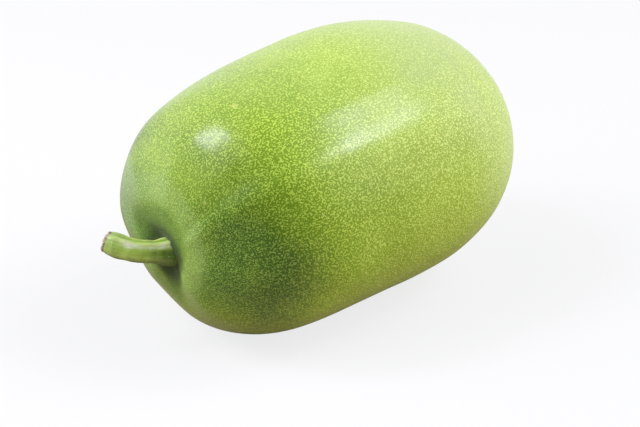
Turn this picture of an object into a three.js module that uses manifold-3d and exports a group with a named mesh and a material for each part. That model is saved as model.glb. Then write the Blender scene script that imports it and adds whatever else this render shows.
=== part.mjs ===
// A whole winter melon as picked: one barrel-shaped fruit lying on its side, with the short
// cut length of stalk still on it. Millimetres, +Z up. The fruit's long axis runs along X,
// stalk end at -X, and the origin is at the middle of the footprint, on the resting plane.
import * as THREE from 'three';
import { mergeVertices } from 'three/addons/utils/BufferGeometryUtils.js';
import Module from 'manifold-3d';

// The barrel, measured along and across its own axis
const HALF_LENGTH = 116.5;
const HALF_WIDTH = 81;
const HEIGHT_TO_WIDTH = 0.92;
const STALK_END_FULLNESS = 5.6; // a higher power gives a flatter, squarer end
const BLOSSOM_END_FULLNESS = 2.5;
const WIDER_TO_BLOSSOM = 0.086; // share of the width gained over each half length
const STALK_BELOW_AXIS = 9; // the stalk end sags this far below the barrel's middle line

// How it lies
const BLOSSOM_END_UP_DEG = 4;
const BELLY_FLAT_DEPTH = 1.2; // the belly is flattened this much where it rests

// The hollow the stalk grows from, set a little off the axis, and the small scar hollow at
// the other end
const STALK_HOLLOW = { depth: 5.5, radius: 16, sideways: 4.5, upwards: -1.5 };
const BLOSSOM_HOLLOW = { depth: 2.2, radius: 9 };

// Grooves that run out of the stalk hollow between the shoulders. turn is in degrees round
// the hollow, from the top towards +Y; width opens out with distance from the hollow.
const GROOVES = [
  { turn: 60, depth: 3.6, width: 7.5, reach: 24 },
  { turn: 192, depth: 3.2, width: 6.5, reach: 32 },
];
const GROOVE_WIDENING = 0.15;
const GROOVE_START = 6;

// Low swells and hollows left by uneven growth. at runs from -1 at the stalk end to +1 at
// the blossom end, height is outwards, span is along at, spread is in degrees round.
const SWELLS = [
  { at: 0.66, turn: 250, height: 0.9, span: 0.28, spread: 40 },
  { at: -0.12, turn: 218, height: -0.7, span: 0.32, spread: 38 },
  { at: -0.92, turn: 150, height: -2.4, span: 0.12, spread: 35 },
  { at: -0.9, turn: 85, height: 4.5, span: 0.12, spread: 35 },
  { at: -0.6, turn: 42, height: -2.3, span: 0.22, spread: 35 },
  { at: 0.5, turn: 24, height: -1.6, span: 0.22, spread: 38 },
];
const SWELL_FULL_RADIUS = 40; // swells fade out nearer the poles than this

// The stalk: its middle line from the bottom of the hollow, and its thickness
const STALK_LINE = [
  [6, -1.6, -1.6],
  [0, 0, 0],
  [-3, 1, 1],
  [-5.9, 2.2, 1.6],
  [-10.7, 5, 2.7],
  [-14.7, 8.2, 3.7],
  [-18.1, 12.2, 5.1],
  [-21, 16.8, 6.6],
  [-23.1, 21.4, 7.8],
];
const STALK_RADIUS = 6.1;
const STALK_RIBS = { count: 5, height: 0.35 };
const STALK_FOOT = { flare: 1.6, length: 7 }; // extra radius where it leaves the fruit
const STALK_TIP = { rounding: 0.8, length: 1.5 };
const STALK_TO_FRUIT_GAP = 0.3;
const STALK_SMOOTHED = 0.02; // slivers thinner than this are left out of the cut foot

// Fineness of the faces
const FRUIT_FACES = { around: 56, along: 48, crowding: 1.3 };
const STALK_FACES = { around: 30, along: 26 };
const SHARED_CORNER = 1e-4; // corners closer than this are one corner

const RIND = { color: 0x8fb545, roughness: 0.42, metalness: 0 };
const STALK_SKIN = { color: 0x9aac46, roughness: 0.48, metalness: 0 };

const radians = THREE.MathUtils.degToRad;
const bell = (x) => Math.exp(-x * x);

// The smallest signed turn, in radians, from one bearing round the axis to another
function turnBetween(from, to) {
  const turn = from - to;
  return Math.atan2(Math.sin(turn), Math.cos(turn));
}

function swellAt(at, bearing) {
  let height = 0;
  for (const swell of SWELLS) {
    const round = turnBetween(bearing, radians(swell.turn)) / radians(swell.spread);
    height += swell.height * bell((at - swell.at) / swell.span) * bell(round);
  }
  return height;
}

// How far the stalk end is pushed in at a distance and bearing from the axis
function stalkHollowAt(axisRadius, axisBearing) {
  const sideways = axisRadius * Math.sin(axisBearing) - STALK_HOLLOW.sideways;
  const upwards = axisRadius * Math.cos(axisBearing) - STALK_HOLLOW.upwards;
  const radius = Math.hypot(sideways, upwards);
  const bearing = Math.atan2(sideways, upwards);
  let depth = STALK_HOLLOW.depth * bell(radius / STALK_HOLLOW.radius);
  for (const groove of GROOVES) {
    const off = turnBetween(bearing, radians(groove.turn));
    if (Math.cos(off) > 0) {
      const width = groove.width + GROOVE_WIDENING * radius;
      const across = bell((radius * Math.sin(off)) / width);
      const outwards = bell(radius / groove.reach) * (1 - bell(radius / GROOVE_START));
      depth += groove.depth * across * outwards;
    }
  }
  return depth;
}

// A point of the rind. polar runs from 0 at the stalk end to PI at the blossom end, and
// bearing turns about the axis from the top towards +Y.
function rindPoint(polar, bearing) {
  const at = -Math.cos(polar);
  const stalkHalf = at < 0;
  const fullness = stalkHalf ? STALK_END_FULLNESS : BLOSSOM_END_FULLNESS;
  const profile = Math.sqrt(Math.max(0, 1 - Math.abs(at) ** fullness));
  const smooth = HALF_WIDTH * profile * (1 + WIDER_TO_BLOSSOM * at);
  const fade = Math.min(1, smooth / SWELL_FULL_RADIUS);
  const radius = smooth + swellAt(at, bearing) * fade;
  let x = HALF_LENGTH * at;
  if (stalkHalf) {
    x += stalkHollowAt(radius, bearing);
  } else {
    x -= BLOSSOM_HOLLOW.depth * bell(radius / BLOSSOM_HOLLOW.radius);
  }
  const sag = stalkHalf ? STALK_BELOW_AXIS * at ** 6 : 0;
  return new THREE.Vector3(
    x,
    radius * Math.sin(bearing),
    radius * Math.cos(bearing) * HEIGHT_TO_WIDTH - sag,
  );
}

// The deepest point of the hollow that the stalk grows from
function hollowBottom() {
  return new THREE.Vector3(
    STALK_HOLLOW.depth - HALF_LENGTH,
    STALK_HOLLOW.sideways,
    STALK_HOLLOW.upwards * HEIGHT_TO_WIDTH - STALK_BELOW_AXIS,
  );
}

// Joins shared corners, so that only positions are left and the surface is closed
function welded(geometry) {
  geometry.deleteAttribute('normal');
  geometry.deleteAttribute('uv');
  return mergeVertices(geometry, SHARED_CORNER);
}

function fruitSkin() {
  const { around, along, crowding } = FRUIT_FACES;
  const geometry = new THREE.SphereGeometry(1, around, along);
  const { position, uv } = geometry.attributes;
  for (let i = 0; i < position.count; i += 1) {
    const polar = Math.PI * (1 - uv.getY(i)) ** crowding;
    const point = rindPoint(polar, 2 * Math.PI * uv.getX(i));
    position.setXYZ(i, point.x, point.y, point.z);
  }
  return welded(geometry);
}

// The same surface, moved outwards along its normals
function grown(geometry, distance) {
  const copy = geometry.clone();
  copy.computeVertexNormals();
  const { position, normal } = copy.attributes;
  const point = new THREE.Vector3();
  const outwards = new THREE.Vector3();
  for (let i = 0; i < position.count; i += 1) {
    point.fromBufferAttribute(position, i);
    outwards.fromBufferAttribute(normal, i);
    point.addScaledVector(outwards, distance);
    position.setXYZ(i, point.x, point.y, point.z);
  }
  return welded(copy);
}

function ribbedSection() {
  const corners = [];
  for (let i = 0; i < STALK_FACES.around; i += 1) {
    const turn = (2 * Math.PI * i) / STALK_FACES.around;
    const radius = STALK_RADIUS + STALK_RIBS.height * Math.cos(STALK_RIBS.count * turn);
    corners.push(new THREE.Vector2(radius * Math.cos(turn), radius * Math.sin(turn)));
  }
  return new THREE.Shape(corners);
}

// The stalk is a straight ribbed bar, bent along its middle line and thickened at the foot
function stalkSkin() {
  const bottom = hollowBottom();
  const line = new THREE.CatmullRomCurve3(
    STALK_LINE.map(([x, y, z]) => new THREE.Vector3(x, y, z).add(bottom)),
  );
  const length = line.getLength();
  const steps = STALK_FACES.along;
  const frames = line.computeFrenetFrames(steps, false);
  const geometry = new THREE.ExtrudeGeometry(ribbedSection(), {
    depth: steps,
    steps,
    bevelEnabled: false,
  });
  const { position } = geometry.attributes;
  for (let i = 0; i < position.count; i += 1) {
    const step = Math.round(position.getZ(i));
    const share = step / steps;
    const fromFoot = share * length;
    const fromTip = length - fromFoot;
    const flare = STALK_FOOT.flare * bell(fromFoot / STALK_FOOT.length);
    const rounding = STALK_TIP.rounding * bell(fromTip / STALK_TIP.length);
    const thicker = 1 + (flare - rounding) / STALK_RADIUS;
    const point = line.getPointAt(share);
    point.addScaledVector(frames.normals[step], position.getX(i) * thicker);
    point.addScaledVector(frames.binormals[step], position.getY(i) * thicker);
    position.setXYZ(i, point.x, point.y, point.z);
  }
  return welded(geometry);
}

const wasm = await Module();
wasm.setup();

function solid(geometry) {
  return new wasm.Manifold(
    new wasm.Mesh({
      numProp: 3,
      vertProperties: new Float32Array(geometry.attributes.position.array),
      triVerts: new Uint32Array(geometry.index.array),
    }),
  );
}

function geometryOf(body) {
  const { vertProperties, triVerts } = body.getMesh();
  const geometry = new THREE.BufferGeometry();
  geometry.setAttribute('position', new THREE.BufferAttribute(vertProperties, 3));
  geometry.setIndex(new THREE.BufferAttribute(triVerts, 1));
  geometry.computeVertexNormals();
  return geometry;
}

// A block whose top face is the resting plane
function groundBlock(top) {
  const size = 4 * HALF_LENGTH;
  const block = new THREE.BoxGeometry(size, size, size);
  block.translate(0, 0, top - size / 2);
  return welded(block);
}

function namedMesh(name, body, look) {
  const mesh = new THREE.Mesh(geometryOf(body), new THREE.MeshStandardMaterial(look));
  mesh.name = name;
  return mesh;
}

const tilt = -radians(BLOSSOM_END_UP_DEG);
const rind = fruitSkin();
const clearance = grown(rind, STALK_TO_FRUIT_GAP).rotateY(tilt);
rind.rotateY(tilt);
rind.computeBoundingBox();

const ground = solid(groundBlock(rind.boundingBox.min.z + BELLY_FLAT_DEPTH));
const fruit = solid(rind).subtract(ground);
const stalk = solid(stalkSkin().rotateY(tilt))
  .subtract(solid(clearance))
  .simplify(STALK_SMOOTHED);

const melon = new THREE.Group();
melon.add(namedMesh('fruit', fruit, RIND));
melon.add(namedMesh('stalk', stalk, STALK_SKIN));

const extent = new THREE.Box3().setFromObject(melon);
const middle = extent.getCenter(new THREE.Vector3());
melon.position.set(-middle.x, -middle.y, -extent.min.z);

export default melon;
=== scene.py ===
"""A whole winter melon, lying on its side with the cut length of its stalk, on a pale floor."""
import math

import bpy
import numpy as np
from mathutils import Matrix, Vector, noise


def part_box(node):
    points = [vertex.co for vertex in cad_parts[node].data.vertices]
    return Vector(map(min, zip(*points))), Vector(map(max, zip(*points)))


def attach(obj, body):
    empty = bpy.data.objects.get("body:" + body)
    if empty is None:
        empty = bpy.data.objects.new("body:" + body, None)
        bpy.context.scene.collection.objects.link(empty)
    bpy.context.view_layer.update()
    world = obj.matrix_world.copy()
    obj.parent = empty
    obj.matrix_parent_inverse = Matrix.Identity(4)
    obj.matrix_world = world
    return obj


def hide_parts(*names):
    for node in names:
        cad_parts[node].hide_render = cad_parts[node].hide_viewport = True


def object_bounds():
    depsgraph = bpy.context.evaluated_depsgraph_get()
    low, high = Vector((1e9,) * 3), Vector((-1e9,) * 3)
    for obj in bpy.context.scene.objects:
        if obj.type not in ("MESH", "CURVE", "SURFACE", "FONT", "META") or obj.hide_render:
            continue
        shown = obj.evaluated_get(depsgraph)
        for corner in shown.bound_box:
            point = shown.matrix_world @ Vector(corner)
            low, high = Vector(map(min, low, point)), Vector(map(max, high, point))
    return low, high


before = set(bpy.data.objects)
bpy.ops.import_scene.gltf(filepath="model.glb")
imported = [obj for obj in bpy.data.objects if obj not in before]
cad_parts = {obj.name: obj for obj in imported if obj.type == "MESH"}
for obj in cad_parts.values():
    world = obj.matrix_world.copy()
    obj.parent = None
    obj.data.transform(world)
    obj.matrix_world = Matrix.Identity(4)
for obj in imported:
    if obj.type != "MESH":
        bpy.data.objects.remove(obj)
cad_low, cad_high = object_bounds()

# The barrel, in metres, measured along and across its own axis
HALF_LENGTH = 0.1165
HALF_WIDTH = 0.081
HEIGHT_TO_WIDTH = 0.92
STALK_END_FULLNESS = 5.6
BLOSSOM_END_FULLNESS = 2.5
WIDER_TO_BLOSSOM = 0.086
STALK_BELOW_AXIS = 0.009
BLOSSOM_END_UP = math.radians(4)
BELLY_FLAT_DEPTH = 0.0012

# The hollow that the stalk grows from, and the scar hollow at the blossom end
STALK_HOLLOW_DEPTH = 0.0055
STALK_HOLLOW_RADIUS = 0.016
STALK_SIDEWAYS = 0.0045
STALK_UPWARDS = -0.0015
BLOSSOM_HOLLOW_DEPTH = 0.0022
BLOSSOM_HOLLOW_RADIUS = 0.009

# Grooves out of the stalk hollow: turn round the axis from the top towards +Y, in degrees,
# then depth, width and reach
GROOVES = [
    (60, 0.0036, 0.0075, 0.024),
    (192, 0.0032, 0.0065, 0.032),
]
GROOVE_WIDENING = 0.15
GROOVE_START = 0.006

# Low swells and hollows: place along the axis from -1 to 1, turn, height, span, spread
SWELLS = [
    (0.66, 250, 0.0009, 0.28, 40),
    (-0.12, 218, -0.0007, 0.32, 38),
    (-0.92, 150, -0.0024, 0.12, 35),
    (-0.90, 85, 0.0045, 0.12, 35),
    (-0.60, 42, -0.0023, 0.22, 35),
    (0.50, 24, -0.0016, 0.22, 38),
]
SWELL_FULL_RADIUS = 0.040

# Faint ribs along the fruit, and the groove beside the sharpest one: turn at the middle of
# the fruit, how far it has turned by the stalk end, height at the stalk end and on the body,
# spread
RIBS = [
    (355, 3, 0.0009, 0.0005, 12),
    (303, 6.5, 0.0010, 0.0006, 9),
    (309, 9, -0.0010, -0.0004, 8),
    (318, 0, 0.0, -0.0003, 4.5),
    (275, -12, 0.0008, 0.0005, 12),
    (228, -5, 0.0007, 0.0005, 12),
    (183, -2, 0.0007, 0.0005, 12),
    (138, -2, 0.0008, 0.0005, 12),
    (92, -2, 0.0008, 0.0005, 11),
    (47, -2, 0.0008, 0.0005, 12),
]
RIB_START = 0.012
RIB_FULL = 0.030

# Shares of the half length between which a rib changes to its height at the stalk end, and
# between which it dies down at the blossom end
RIB_STALK_PART = (0.4, 0.8)
RIB_BLOSSOM_PART = (0.3, 0.8)
RIB_LEFT_AT_BLOSSOM = 0.2

# Dents: place along the axis, turn, depth and size
DENTS = [
    (-0.87, 290, 0.0018, 0.020),
]

# Slow unevenness of the skin: size of the lumps and how far they stand out
LUMPS = [
    (0.022, 0.00028),
    (0.008, 0.00003),
]

# The stalk's middle line, from the bottom of the hollow
STALK_LINE = [
    (0.006, -0.0016, -0.0016),
    (0.0, 0.0, 0.0),
    (-0.0030, 0.0010, 0.0010),
    (-0.0059, 0.0022, 0.0016),
    (-0.0107, 0.0050, 0.0027),
    (-0.0147, 0.0082, 0.0037),
    (-0.0181, 0.0122, 0.0051),
    (-0.0210, 0.0168, 0.0066),
    (-0.0231, 0.0214, 0.0078),
]

# Its thickness: share of the length, radius
STALK_RADII = [
    (0.0, 0.0066),
    (0.15, 0.0060),
    (0.35, 0.0058),
    (0.60, 0.0060),
    (0.86, 0.0064),
    (0.93, 0.0060),
    (1.0, 0.0057),
]

# Ridges and grooves along it: turn from its top towards +Y, height at the tip and at the
# foot, spread
STALK_RIDGES = [
    (338, 0.0005, 0.0008, 14),
    (27, 0.0004, 0.0008, 15),
    (1, -0.0003, -0.0006, 9),
    (286, -0.0001, -0.0007, 14),
    (248, 0.0003, 0.0006, 18),
    (205, -0.0003, -0.0004, 12),
    (172, 0.0004, 0.0007, 18),
    (135, -0.0003, -0.0004, 12),
    (98, 0.0004, 0.0007, 18),
    (62, -0.0003, -0.0004, 12),
]
# The ridge height at which the painted light and shade on the stalk's ridges are full
RIDGE_AT_FULL_COLOUR = 0.0005
STALK_FOOT_START = 0.006
STALK_FOOT_LENGTH = 0.010
STALK_FOOT_FLARE = 0.0016
STALK_STRIPE = 0.0010
STALK_STRIPE_HEIGHT = 0.00010
STALK_STRIPE_STRETCH = 10
# The side of the stalk along which a highlight streak is painted
HIGHLIGHT_SIDE = (math.cos(math.radians(325)), math.sin(math.radians(325)), 0.0)
STALK_LUMPS = [
    (0.004, 0.00022),
    (0.0012, 0.00006),
]

# The dried cut end. The innermost ring of its faces has this share of its radius
DRIED_LENGTH = 0.0024
DRIED_SHRINKAGE = 0.0003
CUT_HOLLOW = 0.0010
CUT_LUMPS = (0.0009, 0.0003)
CUT_MIDDLE = 0.04

# Drops of dried sap round its rim: the share of a step by which they are off their even
# places, the share by which they are larger or smaller, how each of the two varies from drop
# to drop, and the shares of the radius between which a drop's colour sets in
SAP_DROPS = 22
SAP_DROP_RADIUS = 0.00062
SAP_DROP_SUNK = 0.0001
SAP_DROP_SHIFT = 0.25
SAP_DROP_SHIFT_STEP = 5.3
SAP_DROP_RANGE = 0.3
SAP_DROP_RANGE_STEP = 2.1
SAP_DROP_EDGE = (1.15, 0.85)

# The room: a backdrop that brightens away from the viewer, and bright sides, each given by
# azimuth and elevation in degrees, the cosine at its edge and its level
BACKDROP_LEVEL = 0.26
BACKDROP_EDGE = (-0.1, 0.5)
SIDES_IN_GLOSS = 0.25
BRIGHT_SIDES = [
    (-38, 8, 0.80, 2.30),
    (-38, 32, 0.80, 2.20),
    (-38, 56, 0.80, 0.85),
    (120, 8, 0.80, 1.60),
    (150, 46, 0.80, 1.65),
]
SOFTBOX_DISTANCE = 1.6
WINDOW_TINT = (0.86, 0.85, 1.0)
SKY_TINT = (0.77, 0.75, 1.0)

# The floor, duller where the fruit and its gloss see it
FLOOR_SIZE = 6.0
FLOOR_GLOW = 0.8
FLOOR_DULL_WITHIN = 0.12
FLOOR_PALE_BEYOND = 0.34
FLOOR_BEHIND = (-0.2, 0.1)

# The camera
VIEW_AZIMUTH = math.radians(-42.7)
VIEW_ELEVATION = math.radians(25.2)
VIEW_FORWARD = (-math.sin(VIEW_AZIMUTH), math.cos(VIEW_AZIMUTH), 0.0)
CAMERA_DISTANCE = 0.81
CAMERA_LENS = 73.1
CAMERA_SENSOR = 36
LOOK_AT = (0.0454, 0.0437, 0.0188)

# Fineness of the visible skins. The closer rows of the stalk's tip start at a share of its
# length
RIND_AROUND = 384
RIND_ALONG = 256
RIND_CROWDING = 1.25
STALK_AROUND = 192
STALK_BODY_ROWS = 150
STALK_TIP_ROWS = 36
STALK_CUT_ROWS = 26
STALK_TIP_SHARE = 0.91
CURVE_STEPS = 24

# Depth of the fine relief in both skins
RIND_BUMP = 0.00003
STALK_BUMP = 0.00012

# The size of the fine net in the rind, and the greens of its ground and of its lines: at the
# stalk end, on the body, on the sunned part, on the low side, where they hold painted warm
# bounce light over a yellower ground spot, and on the shaded side, which is painted shade
NET_SIZE = 0.00086
GROUND_GREENS = [
    (110, 152, 16),
    (127, 163, 17),
    (164, 194, 52),
    (151, 165, 34),
    (62, 103, 10),
]
NET_GREENS = [
    (180, 216, 86),
    (190, 218, 70),
    (216, 238, 117),
    (195, 206, 78),
    (124, 164, 58),
]

# Small pale scars on the rind: a point and a size
SCARS = [
    (-0.0982, -0.0267, 0.0943, 0.0017),
    (-0.0670, -0.0147, 0.1340, 0.0023),
    (-0.0583, -0.0710, 0.0909, 0.0010),
    (-0.0599, -0.0743, 0.0664, 0.0009),
]


# ---------------------------------------------------------------- shapes

def bell(x):
    return np.exp(-x * x)


def ramp(value, start, end):
    """0 up to start, 1 from end on, straight between; start may be above end."""
    return np.clip((value - start) / (end - start), 0, 1)


def turn_between(bearing, degrees):
    """The smallest signed turn from a bearing in degrees to each bearing in radians."""
    turn = bearing - np.radians(degrees)
    return np.arctan2(np.sin(turn), np.cos(turn))


def swell_height(at, bearing):
    height = np.zeros_like(at)
    for place, turn, rise, span, spread in SWELLS:
        around = turn_between(bearing, turn) / math.radians(spread)
        height += rise * bell((at - place) / span) * bell(around)
    return height


def stalk_hollow(radius, bearing):
    """How far the stalk end is pushed in, at a distance from the axis and a bearing."""
    sideways = radius * np.sin(bearing) - STALK_SIDEWAYS
    upwards = radius * np.cos(bearing) - STALK_UPWARDS
    radius = np.hypot(sideways, upwards)
    bearing = np.arctan2(sideways, upwards)
    depth = STALK_HOLLOW_DEPTH * bell(radius / STALK_HOLLOW_RADIUS)
    for turn, groove_depth, groove_width, reach in GROOVES:
        off = turn_between(bearing, turn)
        width = groove_width + GROOVE_WIDENING * radius
        across = bell(radius * np.sin(off) / width) * (np.cos(off) > 0)
        outwards = bell(radius / reach) * (1 - bell(radius / GROOVE_START))
        depth += groove_depth * across * outwards
    return depth


def rind_points(polar, bearing):
    """Points of the fruit's skin in its own frame, axis along X, before it is laid down."""
    at = -np.cos(polar)
    stalk_half = at < 0
    fullness = np.where(stalk_half, STALK_END_FULLNESS, BLOSSOM_END_FULLNESS)
    profile = np.sqrt(np.clip(1 - np.abs(at) ** fullness, 0, None))
    smooth = HALF_WIDTH * profile * (1 + WIDER_TO_BLOSSOM * at)
    fade = np.clip(smooth / SWELL_FULL_RADIUS, 0, 1)
    radius = smooth + swell_height(at, bearing) * fade
    pushed_in = stalk_hollow(radius, bearing)
    blossom_push = BLOSSOM_HOLLOW_DEPTH * bell(radius / BLOSSOM_HOLLOW_RADIUS)
    x = HALF_LENGTH * at + np.where(stalk_half, pushed_in, -blossom_push)
    sag = np.where(stalk_half, STALK_BELOW_AXIS * at ** 6, 0)
    y = radius * np.sin(bearing)
    z = radius * np.cos(bearing) * HEIGHT_TO_WIDTH - sag
    return np.stack([x, y, z], axis=-1)


def unit(vectors):
    return vectors / np.linalg.norm(vectors, axis=-1, keepdims=True)


def outward(points):
    """The direction out of the skin at each point of its grid."""
    down = np.gradient(points, axis=0)
    wrapped = np.concatenate([points[:, -1:], points, points[:, :1]], axis=1)
    around = np.gradient(wrapped, axis=1)[:, 1:-1]
    return unit(np.cross(down, around))


def rib_height(at, bearing, radius):
    """Ribs that start outside the hollow and turn slightly on their way along the fruit."""
    on_stalk_end = ramp(-at, *RIB_STALK_PART)
    height = np.zeros_like(at)
    for turn, turned_by, stalk_rise, body_rise, spread in RIBS:
        off = turn_between(bearing + np.radians(turned_by) * at, turn)
        rise = body_rise + (stalk_rise - body_rise) * on_stalk_end
        height += rise * bell(off / math.radians(spread))
    left = 1 - (1 - RIB_LEFT_AT_BLOSSOM) * ramp(at, *RIB_BLOSSOM_PART)
    return height * left * ramp(radius, RIB_START, RIB_FULL)


def dent_depth(points):
    depth = np.zeros(points.shape[:-1])
    for at, turn, deep, size in DENTS:
        middle = rind_points(np.full(1, math.acos(-at)), np.full(1, math.radians(turn)))
        depth += deep * bell(np.linalg.norm(points - middle, axis=-1) / size)
    return depth


def lump_height(points, lumps):
    """Smooth random heights, from pairs of a size and how far the lumps stand out."""
    height = np.zeros(points.shape[:-1])
    flat = points.reshape(-1, 3)
    for size, rise in lumps:
        each = [noise.noise(point) for point in (flat / size).tolist()]
        height += rise * np.array(each).reshape(height.shape)
    return height


def laid_down(points):
    """Tips the fruit so that its blossom end is up."""
    cosine = math.cos(BLOSSOM_END_UP)
    sine = math.sin(BLOSSOM_END_UP)
    x = points[..., 0] * cosine - points[..., 2] * sine
    z = points[..., 0] * sine + points[..., 2] * cosine
    return np.stack([x, points[..., 1], z], axis=-1)


def grid_faces(rows, columns):
    """Quads of a grid that closes on itself across its columns."""
    row, column = np.meshgrid(np.arange(rows - 1), np.arange(columns), indexing="ij")
    right = (column + 1) % columns
    corners = [
        row * columns + column,
        row * columns + right,
        (row + 1) * columns + right,
        (row + 1) * columns + column,
    ]
    return np.stack(corners, axis=-1).reshape(-1, 4).tolist()


def end_fans(last, columns):
    """Triangles that close a grid on its first and last points."""
    ring = last - columns
    fans = []
    for column in range(columns):
        right = (column + 1) % columns
        fans.append([0, 1 + right, 1 + column])
        fans.append([last, ring + column, ring + right])
    return fans


def skin_object(name, points, faces, attributes):
    """A smooth mesh object with its named point attributes."""
    mesh = bpy.data.meshes.new(name)
    mesh.from_pydata(points.tolist(), [], faces)
    mesh.shade_smooth()
    for label, values in attributes.items():
        kind = "FLOAT_VECTOR" if values.ndim == 2 else "FLOAT"
        layer = mesh.attributes.new(label, kind, "POINT")
        field = "vector" if values.ndim == 2 else "value"
        layer.data.foreach_set(field, values.astype(np.float32).ravel())
    mesh.update()
    thing = bpy.data.objects.new(name, mesh)
    bpy.context.scene.collection.objects.link(thing)
    return thing


def hollow_bottom():
    """The deepest point of the hollow that the stalk grows from."""
    return np.array([
        STALK_HOLLOW_DEPTH - HALF_LENGTH,
        STALK_SIDEWAYS,
        STALK_UPWARDS * HEIGHT_TO_WIDTH - STALK_BELOW_AXIS,
    ])


def rind_shape():
    """The fruit's skin as a grid with a point at each end, and what its finish reads."""
    share = np.arange(1, RIND_ALONG) / RIND_ALONG
    polar = math.pi * share ** RIND_CROWDING
    bearing = 2 * math.pi * np.arange(RIND_AROUND) / RIND_AROUND
    polar, bearing = np.meshgrid(polar, bearing, indexing="ij")
    points = rind_points(polar, bearing)
    radius = np.linalg.norm(points[..., 1:], axis=-1)
    relief = rib_height(-np.cos(polar), bearing, radius) - dent_depth(points)
    relief += lump_height(points, LUMPS)
    points = points + outward(points) * relief[..., None]
    stalk_pole = rind_points(np.zeros(1), np.zeros(1))
    blossom_pole = rind_points(np.full(1, math.pi), np.zeros(1))

    steps = np.linalg.norm(np.diff(points, axis=0), axis=-1).mean(axis=1)
    first = np.linalg.norm(points[0] - stalk_pole, axis=-1).mean()
    along = np.concatenate([[first], first + np.cumsum(steps)])
    along = np.repeat(along[:, None], RIND_AROUND, axis=1)
    # The net gets finer towards both ends
    spread = np.sqrt(radius * HALF_WIDTH)
    growth = np.stack([spread * np.cos(bearing), spread * np.sin(bearing), along], axis=-1)
    hollow = np.where(polar < math.pi / 2, stalk_hollow(radius, bearing), 0) / STALK_HOLLOW_DEPTH
    from_stalk = np.linalg.norm(points - hollow_bottom(), axis=-1)

    ends = along.max() + first
    every_point = np.concatenate([stalk_pole, points.reshape(-1, 3), blossom_pole])
    every_growth = np.concatenate([[[0, 0, 0]], growth.reshape(-1, 3), [[0, 0, ends]]])
    every_hollow = np.concatenate([[1.0], hollow.ravel(), [0.0]])
    every_from_stalk = np.concatenate([[0.0], from_stalk.ravel(), [2 * HALF_LENGTH]])

    faces = grid_faces(RIND_ALONG - 1, RIND_AROUND)
    faces = [[1 + corner for corner in face] for face in faces]
    faces += end_fans(len(every_point) - 1, RIND_AROUND)
    outward_faces = [face[::-1] for face in faces]
    attributes = {
        "growth": every_growth,
        "hollow": every_hollow,
        "from_stalk": every_from_stalk,
    }
    return every_point, outward_faces, attributes


def smooth_line(corners, shares):
    """Points at shares of the length of a curve through the corners."""
    ends = [2 * corners[0] - corners[1], *corners, 2 * corners[-1] - corners[-2]]
    part = np.linspace(0, 1, CURVE_STEPS, endpoint=False)[:, None]
    pieces = []
    for before, start, end, after in zip(ends, ends[1:], ends[2:], ends[3:]):
        bend = 2 * before - 5 * start + 4 * end - after
        twist = 3 * start - before - 3 * end + after
        pieces.append(start + ((end - before) * part + bend * part ** 2 + twist * part ** 3) / 2)
    line = np.concatenate([*pieces, corners[-1:]])
    reached = np.concatenate([[0], np.cumsum(np.linalg.norm(np.diff(line, axis=0), axis=1))])
    wanted = shares * reached[-1]
    points = np.stack([np.interp(wanted, reached, line[:, axis]) for axis in range(3)], axis=-1)
    return points, wanted


def stalk_ridge(turn, foot):
    """Height of the ridges and grooves at each turn; foot is 1 where the stalk starts."""
    height = np.zeros(np.broadcast_shapes(turn.shape, foot.shape))
    for middle, at_tip, at_foot, spread in STALK_RIDGES:
        rise = at_tip + (at_foot - at_tip) * foot
        height += rise * bell(turn_between(turn, middle) / math.radians(spread))
    return height


def sap_drops(points, rim_centre, rim_axis, rim_up, rim_side, rim_radius):
    """Pushes the skin out over the drops round the rim, and says where they are."""
    on_drop = np.zeros(points.shape[:-1])
    for drop in range(SAP_DROPS):
        step = drop + SAP_DROP_SHIFT * math.sin(SAP_DROP_SHIFT_STEP * drop)
        turn = 2 * math.pi * step / SAP_DROPS
        size = SAP_DROP_RADIUS * (1 + SAP_DROP_RANGE * math.sin(SAP_DROP_RANGE_STEP * drop))
        spoke = math.cos(turn) * rim_up + math.sin(turn) * rim_side
        centre = rim_centre + spoke * (rim_radius - SAP_DROP_SUNK) - rim_axis * SAP_DROP_SUNK
        away = points - centre
        distance = np.linalg.norm(away, axis=-1)
        inside = distance < size
        points[inside] = centre + away[inside] * (size / distance[inside])[:, None]
        on_drop = np.maximum(on_drop, ramp(distance / size, *SAP_DROP_EDGE))
    return on_drop


def cut_end(rim_centre, axis, spoke, rim_radius):
    """Rings of points from the rim in to the middle of the cut end, and their radii."""
    inwards = np.linspace(1, CUT_MIDDLE, STALK_CUT_ROWS + 1)[1:, None]
    radius = inwards * rim_radius
    points = rim_centre + spoke * radius[..., None]
    sunk = -CUT_HOLLOW * (1 - inwards ** 2)
    sunk = sunk + lump_height(points, [CUT_LUMPS]) * np.clip(4 * (1 - inwards), 0, 1)
    return points + axis * sunk[..., None], radius


def stalk_places(radius, turn, reached):
    """Where points are across the stalk, twice, and along it."""
    across = [radius * np.cos(turn), radius * np.sin(turn)]
    return np.stack(np.broadcast_arrays(*across, reached), axis=-1)


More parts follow.
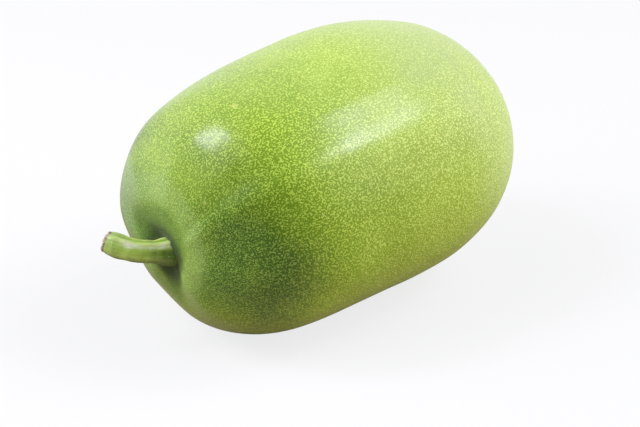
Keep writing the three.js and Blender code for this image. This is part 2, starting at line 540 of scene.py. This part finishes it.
def stalk_shape():
    """The stalk's skin, from inside the fruit to its cut end, and what its finish reads."""
    corners = hollow_bottom() + np.array(STALK_LINE)
    body = np.linspace(0, STALK_TIP_SHARE, STALK_BODY_ROWS, endpoint=False)
    shares = np.concatenate([body, np.linspace(STALK_TIP_SHARE, 1, STALK_TIP_ROWS)])
    line, reached = smooth_line(corners, shares)
    length = reached[-1]
    along = unit(np.gradient(line, axis=0))[:, None]
    side = unit(np.cross(along, [0, 0, 1]))
    up = np.cross(side, along)

    turn = 2 * math.pi * np.arange(STALK_AROUND)[None, :] / STALK_AROUND
    from_foot = reached[:, None] - STALK_FOOT_START
    foot = bell(np.maximum(from_foot, 0) / STALK_FOOT_LENGTH)
    dried = np.clip(1 - (length - reached[:, None]) / DRIED_LENGTH, 0, 1) ** 0.5
    spoke = np.cos(turn)[..., None] * up + np.sin(turn)[..., None] * side

    girth = np.interp(reached / length, *np.array(STALK_RADII).T)[:, None]
    ridges = stalk_ridge(turn, foot)
    on_body = stalk_places(girth, turn, reached[:, None])
    striped = on_body / [1, 1, STALK_STRIPE_STRETCH]
    radius = girth + ridges + STALK_FOOT_FLARE * foot ** 4 - DRIED_SHRINKAGE * dried
    radius += lump_height(striped, [(STALK_STRIPE, STALK_STRIPE_HEIGHT)])
    rings = line[:, None] + spoke * radius[..., None]
    radius += lump_height(rings, STALK_LUMPS)
    rings = line[:, None] + spoke * radius[..., None]

    cut, cut_radius = cut_end(line[-1], along[-1:], spoke[-1:], radius[-1:])
    points = np.concatenate([rings, cut])
    rim_radius = radius[-1].mean()
    on_drop = sap_drops(points, line[-1], along[-1, 0], up[-1, 0], side[-1, 0], rim_radius)

    place = np.concatenate([on_body, stalk_places(cut_radius, turn, length)])
    ridge = np.concatenate([ridges / RIDGE_AT_FULL_COLOUR, np.zeros_like(cut_radius)])
    dry = np.concatenate([np.broadcast_to(dried, ridges.shape), np.ones_like(cut_radius)])

    cut_middle = points[-1].mean(axis=0, keepdims=True)
    every_point = np.concatenate([line[:1], points.reshape(-1, 3), cut_middle])
    faces = grid_faces(len(points), STALK_AROUND)
    faces = [[1 + corner for corner in face] for face in faces]
    faces += end_fans(len(every_point) - 1, STALK_AROUND)
    attributes = {
        "girth": np.concatenate([place[0, :1], place.reshape(-1, 3), place[-1, :1]]),
        "ridge": np.concatenate([[0.0], ridge.ravel(), [0.0]]),
        "dry": np.concatenate([[0.0], dry.ravel(), [1.0]]),
        "drop": np.concatenate([[0.0], on_drop.ravel(), [0.0]]),
    }
    return every_point, faces, attributes


def placed_in_frame(points):
    """Lays the fruit down and moves it to where the CAD fruit is."""
    low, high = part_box("fruit")
    laid = laid_down(points)
    own_low = laid.min(axis=0)
    own_high = laid.max(axis=0)
    move = np.array([
        high[0] - own_high[0],
        (low[1] + high[1] - own_low[1] - own_high[1]) / 2,
        low[2] - BELLY_FLAT_DEPTH - own_low[2],
    ])
    return laid + move, move


def melon_rind():
    points, faces, attributes = rind_shape()
    placed, move = placed_in_frame(points)
    placed[:, 2] = np.maximum(placed[:, 2], 0)
    return skin_object("melon_rind", placed, faces, attributes), move


def melon_stalk(move):
    points, faces, attributes = stalk_shape()
    return skin_object("melon_stalk", laid_down(points) + move, faces, attributes)


# ---------------------------------------------------------------- finishes

class Signal:
    """An output of a node. A sum on it adds Math nodes to the same finish."""

    def __init__(self, finish, maker, output=0):
        self.finish = finish
        self.maker = maker
        self.output = output

    def __getitem__(self, output):
        return Signal(self.finish, self.maker, output)

    def feed(self, socket):
        self.finish.tree.links.new(self.maker.outputs[self.output], socket)

    def __add__(self, other):
        return self.finish.math("ADD", self, other)

    def __sub__(self, other):
        return self.finish.math("SUBTRACT", self, other)

    def __rsub__(self, other):
        return self.finish.math("SUBTRACT", other, self)

    def __mul__(self, other):
        return self.finish.math("MULTIPLY", self, other)

    __radd__ = __add__


class Finish:
    """A material, and the nodes it is built from."""

    def __init__(self, name, owner=None):
        self.material = owner or bpy.data.materials.new(name)
        self.material.use_nodes = True
        self.tree = self.material.node_tree
        self.tree.nodes.clear()

    def node(self, kind, settings, inputs):
        """Adds a node, with its settings set before the values or links of its sockets."""
        node = self.tree.nodes.new(kind)
        for name, value in settings.items():
            setattr(node, name, value)
        for name, value in inputs.items():
            if isinstance(value, Signal):
                value.feed(node.inputs[name])
            else:
                node.inputs[name].default_value = value
        return Signal(self, node)

    def math(self, operation, first, second):
        settings = {"operation": operation}
        return self.node("ShaderNodeMath", settings, {0: first, 1: second})

    def attribute(self, name):
        return self.node("ShaderNodeAttribute", {"attribute_name": name}, {})

    def vector(self, operation, first, second=(0.0, 0.0, 0.0)):
        settings = {"operation": operation}
        return self.node("ShaderNodeVectorMath", settings, {0: first, 1: second})

    def noise(self, place, size, detail):
        """Random patches of about a size, from 0 to 1."""
        inputs = {"Vector": place, "Scale": 1 / size, "Detail": detail}
        return self.node("ShaderNodeTexNoise", {}, inputs)

    def fade(self, value, start, end):
        """0 at start, 1 at end, with a smooth step between; start may be above end."""
        inputs = {"Value": value, "From Min": start, "From Max": end}
        return self.node("ShaderNodeMapRange", {"interpolation_type": "SMOOTHSTEP"}, inputs)

    def ragged(self, value, ruffle, width, start, end):
        """A fade whose edge a noise moves about, over a band of a width."""
        return self.fade(value + (ruffle - 0.5) * width, start, end)

    def mix(self, amount, first, second):
        inputs = {0: amount, 6: first, 7: second}
        return self.node("ShaderNodeMix", {"data_type": "RGBA"}, inputs)[2]

    def skin(self, colour, roughness, height, bump_depth, constants):
        """Ends the finish in a Principled surface, with a bump under it."""
        bump = self.node(
            "ShaderNodeBump", {}, {"Strength": 1.0, "Distance": bump_depth, "Height": height}
        )
        inputs = {"Base Color": colour, "Roughness": roughness, "Normal": bump}
        inputs.update(constants)
        surface = self.node("ShaderNodeBsdfPrincipled", {}, inputs)
        self.node("ShaderNodeOutputMaterial", {}, {"Surface": surface})
        return self.material


def paint(red, green, blue):
    """A colour given in display values from 0 to 255."""
    def linear(value):
        share = value / 255
        return share / 12.92 if share <= 0.04045 else ((share + 0.055) / 1.055) ** 2.4
    return (linear(red), linear(green), linear(blue), 1.0)


def zoned(finish, zones, greens):
    """The first green, over which each zone in turn lays the next one."""
    first, *others = greens
    skin = paint(*first)
    for zone, green in zip(zones, others):
        skin = finish.mix(zone, skin, paint(*green))
    return skin


def shaded_side(finish, along, height, clouds):
    """Painted shade: the dark patch low down at the stalk end, and a fainter one in a furrow above
    it.
    """
    shaded = finish.ragged(height, clouds, 0.03, 0.126, 0.078)
    shaded = shaded * finish.ragged(height, clouds, 0.03, 0.000, 0.056)
    shaded = shaded * finish.ragged(along, clouds, 0.05, 0.108, 0.044)
    shaded = shaded * finish.fade(along, 0.005, 0.036)
    shaded = shaded * finish.fade(along - height * 0.6, -0.031, 0.001)
    # Painted shade along the furrow above the crest
    furrow_shade = finish.ragged(height, clouds, 0.02, 0.130, 0.116)
    furrow_shade = furrow_shade * finish.fade(along, 0.054, 0.068) * finish.fade(along, 0.100, 0.078)
    return shaded + furrow_shade * 0.3


def hollow_tints_and_shade(finish, skin, place, hollow, deep, clouds, flecks):
    """Paler at the rim of the stalk's hollow, painted shade inside, painted shadow and cork round
    the stalk.
    """
    from_stalk = finish.attribute("from_stalk")[2]
    hazy = finish.ragged(hollow, clouds, 0.02, 0.0, 0.02)
    hazy = hazy * finish.ragged(hollow, clouds, 0.1, 0.32, 0.08)
    skin = finish.mix(hazy * 0.24, skin, paint(168, 198, 128))
    # Painted shade inside the hollow
    skin = finish.mix(deep * 0.42, skin, paint(84, 110, 80))
    # Painted shadow round the stalk's foot
    at_foot = finish.ragged(from_stalk, flecks, 0.003, 0.0225, 0.0120)
    at_foot = at_foot * finish.fade(hollow, 0.12, 0.26)
    skin = finish.mix(at_foot * 0.8, skin, paint(34, 58, 26))
    cork = finish.fade(finish.noise(place, 0.0009, 1.0), 0.58, 0.70)
    cork = cork * finish.fade(from_stalk, 0.015, 0.011)
    return finish.mix(cork * 0.3, skin, paint(130, 140, 104))


def small_scars(finish, skin, place):
    edge = finish.noise(place, 0.0012, 2.0)
    scar = 0.0
    for x, y, z, size in SCARS:
        away = finish.vector("DISTANCE", place, (x, y, z))["Value"]
        scar = scar + finish.ragged(away, edge, size, size, size * 0.5)
    return finish.mix(scar * 0.6, skin, paint(208, 214, 112))


def blossom_scar(finish, skin, place, growth, along):
    """The dry brown scar where the blossom sat, in a paler ring.

    across is the root of the distance from the axis times the half width.
    """
    across = finish.vector("MULTIPLY", growth, (1.0, 1.0, 0.0))
    across = finish.vector("LENGTH", across)["Value"]
    across = across + (finish.noise(place, 0.0020, 2.0) - 0.5) * 0.006
    at_blossom = finish.fade(along, 0.15, 0.20)
    ring = finish.fade(across, 0.026, 0.020) * at_blossom
    middle = finish.fade(across, 0.019, 0.015) * at_blossom
    skin = finish.mix(ring * 0.6, skin, paint(186, 190, 120))
    return finish.mix(middle * 0.85, skin, paint(132, 110, 76))


def rind_finish():
    """Waxy green rind, with a fine broken net of yellow-green lines and pale dots.

    Edges of zones are in metres: along runs over the skin from the stalk end, height is
    above the ground, and hollow is 1 at the bottom of the stalk's hollow.
    """
    finish = Finish("rind")
    growth = finish.attribute("growth")[1]
    hollow = finish.attribute("hollow")[2]
    along = finish.node("ShaderNodeSeparateXYZ", {}, {0: growth})[2]
    place = finish.node("ShaderNodeNewGeometry", {}, {})
    height = finish.node("ShaderNodeSeparateXYZ", {}, {0: place})[2]
    clouds = finish.noise(place, 0.028, 3.0)
    flecks = finish.noise(growth, 0.0075, 2.0)

    on_body = finish.ragged(along, clouds, 0.04, 0.015, 0.075)
    sunned = finish.ragged(along, clouds, 0.10, 0.085, 0.19)
    # Painted warm bounce light on the low side, over a yellower ground spot
    low_bounce_and_ground_spot = finish.ragged(height, clouds, 0.05, 0.060, 0.0)
    # Painted shade low at the stalk end and in the furrow above it
    shaded = shaded_side(finish, along, height, clouds)
    zones = [on_body, sunned, low_bounce_and_ground_spot, shaded]

    # Painted light: a paler shoulder round the left highlight
    lit_shoulder = finish.ragged(height, clouds, 0.02, 0.088, 0.108)
    lit_shoulder = lit_shoulder * finish.ragged(along, flecks, 0.02, 0.068, 0.046)
    # Painted haze over the top: a grey veil, and duller net lines, for the bright room's
    # reflection
    top_side = finish.ragged(height, clouds, 0.03, 0.115, 0.145)
    top_haze = top_side * (0.08 + finish.fade(along, 0.15, 0.19) * 0.12)
    # Pale waxy bloom towards the blossom end, partly a painted haze of the bright backdrop
    bloom_and_haze = finish.ragged(along + height * 0.2, clouds, 0.04, 0.20, 0.25)
    # Painted shade deep in the stalk's hollow
    deep = finish.ragged(hollow, flecks, 0.1, 0.09, 0.42)

    grain = finish.noise(growth, NET_SIZE, 0.0) + (flecks - 0.5) * 0.06
    lines = finish.fade(grain, 0.47, 0.64)
    dots = finish.fade(grain, 0.60, 0.74)
    drawn = lines * (1 - top_side * 0.35) * (1 - finish.fade(hollow, 0.0, 0.3) * 0.4)

    ground = zoned(finish, zones, GROUND_GREENS)
    net = zoned(finish, zones, NET_GREENS)
    skin = finish.mix(drawn, ground, net)
    skin = finish.mix(dots * 0.15, skin, paint(214, 230, 130))
    skin = finish.mix(lit_shoulder * 0.3, skin, paint(184, 216, 96))
    skin = finish.mix(bloom_and_haze * 0.17, skin, paint(208, 214, 186))
    skin = finish.mix(top_haze, skin, paint(166, 166, 166))
    skin = hollow_tints_and_shade(finish, skin, place, hollow, deep, clouds, flecks)
    skin = small_scars(finish, skin, place)
    skin = blossom_scar(finish, skin, place, growth, along)

    roughness = 0.54 + (clouds - 0.5) * 0.1 + deep * 0.2
    relief = lines * 0.5
    constants = {
        "Specular IOR Level": 0.35,
        "Sheen Weight": 0.12,
        "Sheen Roughness": 0.3,
        "Coat Weight": (0.62 - sunned * 0.3) * (1 - deep * 0.75),
        "Coat Roughness": 0.20,
    }
    return finish.skin(skin, roughness, relief, RIND_BUMP, constants)


def stalk_finish():
    """Ribbed green stalk with fuzz, painted highlight and shade, brown and cream at the cut end.
    """
    finish = Finish("stalk_skin")
    girth = finish.attribute("girth")[1]
    ridge = finish.attribute("ridge")[2]
    dry = finish.attribute("dry")[2]
    drop = finish.attribute("drop")[2]
    parts = finish.node("ShaderNodeSeparateXYZ", {}, {0: girth})
    upwards = parts[0]
    reached = parts[2]
    streaks = finish.noise(finish.vector("MULTIPLY", girth, (1.0, 1.0, 0.1)), 0.0010, 2.0)
    patches = finish.noise(girth, 0.0050, 2.0)
    grain = finish.noise(girth, 0.0006, 1.0)
    specks = finish.fade(finish.noise(girth, 0.0011, 1.0) + patches * 0.3, 0.86, 0.94)
    flecks = finish.fade(finish.noise(girth, 0.0008, 0.0), 0.74, 0.84)

    # Painted light on the ridges and painted shade in the grooves
    ridge_light_and_groove_shade = finish.ragged(ridge, streaks, 1.6, -0.9, 1.2)
    # Painted shade on the underside
    shaded_underside = finish.ragged(upwards, patches, 0.004, 0.0000, -0.0045)
    # Painted shade at the foot, where the stalk goes into the hollow
    foot = finish.ragged(reached, streaks, 0.006, 0.019, 0.009)
    foot = foot * finish.fade(upwards, 0.0055, 0.0015)
    tip = finish.fade(reached, 0.026, 0.036)
    # A painted highlight streak along the stalk's top
    painted_highlight = finish.vector("DOT_PRODUCT", girth, HIGHLIGHT_SIDE)["Value"]
    painted_highlight = finish.ragged(painted_highlight, patches, 0.001, 0.0056, 0.0061)
    painted_highlight = painted_highlight * finish.fade(streaks, 0.3, 0.6) * finish.fade(reached, 0.034, 0.026)
    fuzz = finish.fade(grain, 0.45, 0.75)
    skin = finish.mix(ridge_light_and_groove_shade, paint(150, 194, 60), paint(220, 240, 136))
    skin = finish.mix(shaded_underside * 0.92, skin, paint(86, 110, 30))
    skin = finish.mix(foot * 0.75, skin, paint(66, 98, 32))
    skin = finish.mix(tip * 0.4, skin, paint(108, 142, 66))
    skin = finish.mix(painted_highlight * 0.85, skin, paint(244, 250, 232))
    skin = finish.mix(fuzz * 0.15, skin, paint(226, 232, 176))
    skin = finish.mix(specks * 0.7, skin, paint(86, 104, 48))
    skin = finish.mix(flecks * 0.5, skin, paint(236, 240, 206))

    brown = finish.mix(finish.fade(streaks, 0.35, 0.65), paint(118, 104, 88), paint(184, 170, 142))
    cream = finish.mix(grain, paint(204, 186, 148), paint(246, 234, 204))
    skin = finish.mix(finish.ragged(dry, streaks, 0.5, 0.15, 0.6), skin, brown)
    skin = finish.mix(drop, skin, cream)

    roughness = 0.52 + (streaks - 0.5) * 0.2
    relief = streaks * 0.6 + grain * 0.4
    constants = {
        "Specular IOR Level": 0.4,
        "Sheen Weight": 0.08,
        "Sheen Roughness": 0.4,
        "Coat Weight": 0.5 - shaded_underside * 0.4,
        "Coat Roughness": 0.28,
    }
    return finish.skin(skin, roughness, relief, STALK_BUMP, constants)


# ---------------------------------------------------------------- stage

def bearing_to(azimuth, elevation):
    """The direction of a lamp, azimuth from +X towards +Y, both in degrees."""
    turn = math.radians(azimuth)
    rise = math.radians(elevation)
    flat = math.cos(rise)
    return Vector((math.cos(turn) * flat, math.sin(turn) * flat, math.sin(rise)))


def soft_light(name, azimuth, elevation, width, height, level, tint=WINDOW_TINT):
    """A softbox aimed at the fruit. level is how bright it alone makes a white card."""
    lamp = bpy.data.lights.new(name, "AREA")
    lamp.shape = "RECTANGLE"
    lamp.size = width
    lamp.size_y = height
    lamp.energy = level * math.pi ** 2 * SOFTBOX_DISTANCE ** 2
    lamp.color = tint
    thing = bpy.data.objects.new(name, lamp)
    bpy.context.scene.collection.objects.link(thing)
    direction = bearing_to(azimuth, elevation)
    thing.location = Vector((0, 0, cad_high[2] / 2)) + direction * SOFTBOX_DISTANCE
    thing.rotation_euler = direction.to_track_quat("Z", "Y").to_euler()
    return thing


def studio_floor():
    """A pale floor. The light it throws back on the fruit is that of a duller one."""
    bpy.ops.mesh.primitive_plane_add(size=FLOOR_SIZE)
    floor = bpy.context.active_object
    floor.name = "floor"
    finish = Finish("floor")
    seen = finish.node("ShaderNodeLightPath", {}, {})
    white = finish.node("ShaderNodeEmission", {}, {"Color": paint(253, 253, 254)})
    lit = finish.node("ShaderNodeBsdfDiffuse", {}, {"Color": paint(226, 226, 226)})
    pale = finish.node("ShaderNodeMixShader", {}, {0: FLOOR_GLOW, 1: lit, 2: white})
    dull = finish.node("ShaderNodeBsdfDiffuse", {}, {"Color": paint(172, 160, 128)})
    place = finish.node("ShaderNodeNewGeometry", {}, {})
    distance = finish.vector("LENGTH", place)["Value"]
    behind = finish.vector("DOT_PRODUCT", place, VIEW_FORWARD)["Value"]
    beyond = finish.fade(distance, FLOOR_DULL_WITHIN, FLOOR_PALE_BEYOND)
    beyond = beyond * finish.fade(behind, *FLOOR_BEHIND)
    shown = seen["Is Camera Ray"] + seen["Is Glossy Ray"] * beyond
    surface = finish.node("ShaderNodeMixShader", {}, {0: shown, 1: dull, 2: pale})
    finish.node("ShaderNodeOutputMaterial", {}, {"Surface": surface})
    floor.data.materials.append(finish.material)


def studio():
    """Softboxes and big screens on both sides of the fruit, in a room with a white backdrop."""
    world = bpy.data.worlds.new("studio")
    bpy.context.scene.world = world
    room = Finish("room", world)
    seen = room.node("ShaderNodeLightPath", {}, {})
    direction = room.node("ShaderNodeTexCoord", {}, {})["Generated"]
    away = room.vector("DOT_PRODUCT", direction, VIEW_FORWARD)["Value"]
    backdrop = room.fade(away, *BACKDROP_EDGE)
    lit = backdrop * (seen["Is Glossy Ray"] * (1.0 - BACKDROP_LEVEL) + BACKDROP_LEVEL)
    sides = 0.0
    for azimuth, elevation, edge, level in BRIGHT_SIDES:
        towards = room.vector("DOT_PRODUCT", direction, bearing_to(azimuth, elevation))["Value"]
        sides = sides + room.fade(towards, edge, 1.0) * level
    lit = lit + sides * (seen["Is Glossy Ray"] * (SIDES_IN_GLOSS - 1.0) + 1.0)
    strength = room.math("MAXIMUM", seen["Is Camera Ray"], lit)
    surface = room.node("ShaderNodeBackground", {}, {"Color": (1, 1, 1, 1), "Strength": strength})
    room.node("ShaderNodeOutputWorld", {}, {"Surface": surface})

    soft_light("right_softbox", -46, 49, 0.36, 0.26, 0.21, SKY_TINT)
    soft_light("left_softbox", 149, 49, 0.32, 0.70, 0.42)
    fill = soft_light("left_fill", 163, 34, 0.80, 0.80, 0.34)
    fill.visible_glossy = False
    soft_light("back_strip", -31, 57, 0.26, 0.22, 0.06)


def camera():
    lens = bpy.data.cameras.new("camera")
    lens.sensor_width = CAMERA_SENSOR
    lens.lens = CAMERA_LENS
    thing = bpy.data.objects.new("camera", lens)
    bpy.context.scene.collection.objects.link(thing)
    back = Vector((
        math.sin(VIEW_AZIMUTH) * math.cos(VIEW_ELEVATION),
        -math.cos(VIEW_AZIMUTH) * math.cos(VIEW_ELEVATION),
        math.sin(VIEW_ELEVATION),
    ))
    thing.location = Vector(LOOK_AT) + back * CAMERA_DISTANCE
    thing.rotation_euler = back.to_track_quat("Z", "Y").to_euler()
    bpy.context.scene.camera = thing


bpy.context.scene.view_settings.view_transform = "Standard"
camera()
studio()
studio_floor()

rind, fruit_move = melon_rind()
rind.data.materials.append(rind_finish())
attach(rind, "root")
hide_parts("fruit")

stalk = melon_stalk(fruit_move)
stalk.data.materials.append(stalk_finish())
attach(stalk, "root")
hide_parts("stalk")
